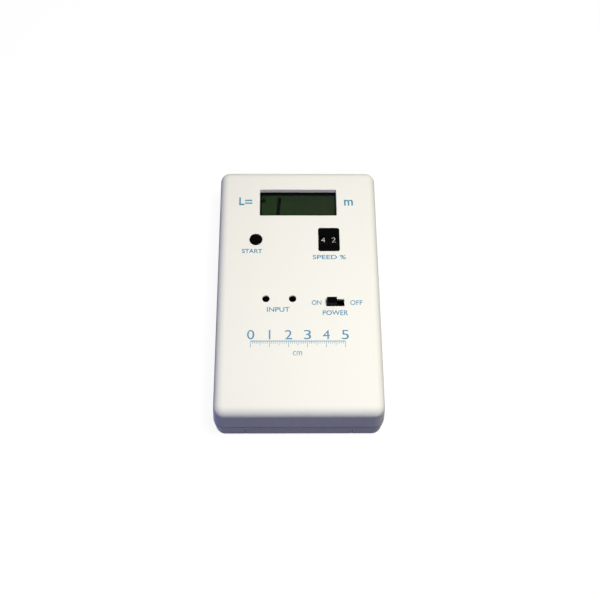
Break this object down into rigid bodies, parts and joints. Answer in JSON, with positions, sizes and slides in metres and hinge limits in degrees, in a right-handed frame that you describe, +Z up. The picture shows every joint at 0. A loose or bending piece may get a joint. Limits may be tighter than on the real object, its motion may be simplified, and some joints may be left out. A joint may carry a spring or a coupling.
{
  "type": "cable length counter",
  "caption": "Hand-held electronic cable length counter: tapered two-part case, display window, start button, two-digit thumbwheel, cable sockets, slide switch and battery door.",
  "frame": {"origin": "middle of the base, on the surface that the instrument lies on", "axes": "+Z up out of the face, +Y towards the display end, +X to the right of someone who reads the face"},
  "size_m": [0.09, 0.15, 0.0336],
  "materials": {
    "case_plastic": "fine satin texture",
    "clear_acrylic": "polished",
    "display_film": "satin",
    "display_glass": "polished",
    "reflector_film": "satin",
    "black_plastic": "satin",
    "button_plastic": "satin",
    "wheel_plastic": "satin",
    "strip_plastic": "satin",
    "board_laminate": "solder mask",
    "thin_laminate": "bare laminate",
    "chip_plastic": "matt",
    "tinned_metal": "tinned",
    "zinc_steel": "zinc plated",
    "blackened_steel": "blackened",
    "spring_steel": "bright",
    "brass_plate": "bright",
    "crystal_can": "drawn can",
    "capacitor_sleeve": "plastic sleeve",
    "ceramic_disc": "dipped",
    "resistor_body": "lacquered",
    "trimmer_body": "moulded",
    "phenolic_base": "moulded",
    "battery_jacket": "printed jacket",
    "snap_vinyl": "soft vinyl",
    "red_insulation": "pvc",
    "black_insulation": "pvc"
  },
  "bodies": {
    "case": {"front_shell": "case_plastic", "rear_shell": "case_plastic", "case_screws": "zinc_steel", "display_window": "clear_acrylic", "display_front_polariser": "display_film", "display_front_glass": "display_glass", "display_rear_glass": "display_glass", "display_reflector": "reflector_film", "display_pins": "tinned_metal", "display_strips": "strip_plastic", "main_board": "board_laminate", "board_screws": "zinc_steel", "display_driver": "chip_plastic", "logic_chips": "chip_plastic", "chip_legs": "tinned_metal", "crystal": "crystal_can", "electrolytic_capacitors": "capacitor_sleeve", "ceramic_capacitors": "ceramic_disc", "resistors": "resistor_body", "trimmer": "trimmer_body", "start_switch": "black_plastic", "start_switch_legs": "tinned_metal", "start_spring": "spring_steel", "thumbwheel_bezel": "black_plastic", "thumbwheel_housing": "black_plastic", "thumbwheel_axle": "zinc_steel", "code_boards": "thin_laminate", "detent_springs": "spring_steel", "input_socket_sleeves": "brass_plate", "input_socket_bodies": "black_plastic", "power_switch_frame": "blackened_steel", "power_switch_base": "phenolic_base", "power_switch_terminals": "brass_plate", "battery": "battery_jacket", "battery_terminals": "tinned_metal", "battery_snap": "snap_vinyl", "battery_lead_red": "red_insulation", "battery_lead_black": "black_insulation"},
    "start_button": {"start_button": "button_plastic"},
    "tens_wheel": {"tens_wheel": "wheel_plastic"},
    "units_wheel": {"units_wheel": "wheel_plastic"},
    "power_knob": {"power_switch_knob": "black_plastic", "power_switch_contact": "brass_plate"},
    "battery_door": {"battery_door": "case_plastic"}
  },
  "joints": [
    {"name": "start_press", "type": "slide", "parent": "case", "child": "start_button", "axis": [0, 0, -1], "range_m": [0, 0.001], "stiffness_N_per_m": 400, "springref_m": -0.001, "deforming": ["start_spring"]},
    {"name": "tens_turn", "type": "hinge", "parent": "case", "child": "tens_wheel", "pos_m": [0.01387, 0.0284, 0.0222], "axis": [1, 0, 0], "continuous": true},
    {"name": "units_turn", "type": "hinge", "parent": "case", "child": "units_wheel", "pos_m": [0.01977, 0.0284, 0.0222], "axis": [1, 0, 0], "continuous": true},
    {"name": "power_slide", "type": "slide", "parent": "case", "child": "power_knob", "axis": [1, 0, 0], "range_m": [0, 0.003]},
    {"name": "door_slide", "type": "slide", "parent": "case", "child": "battery_door", "axis": [0, -1, 0], "range_m": [0, 0.036]}
  ]
}
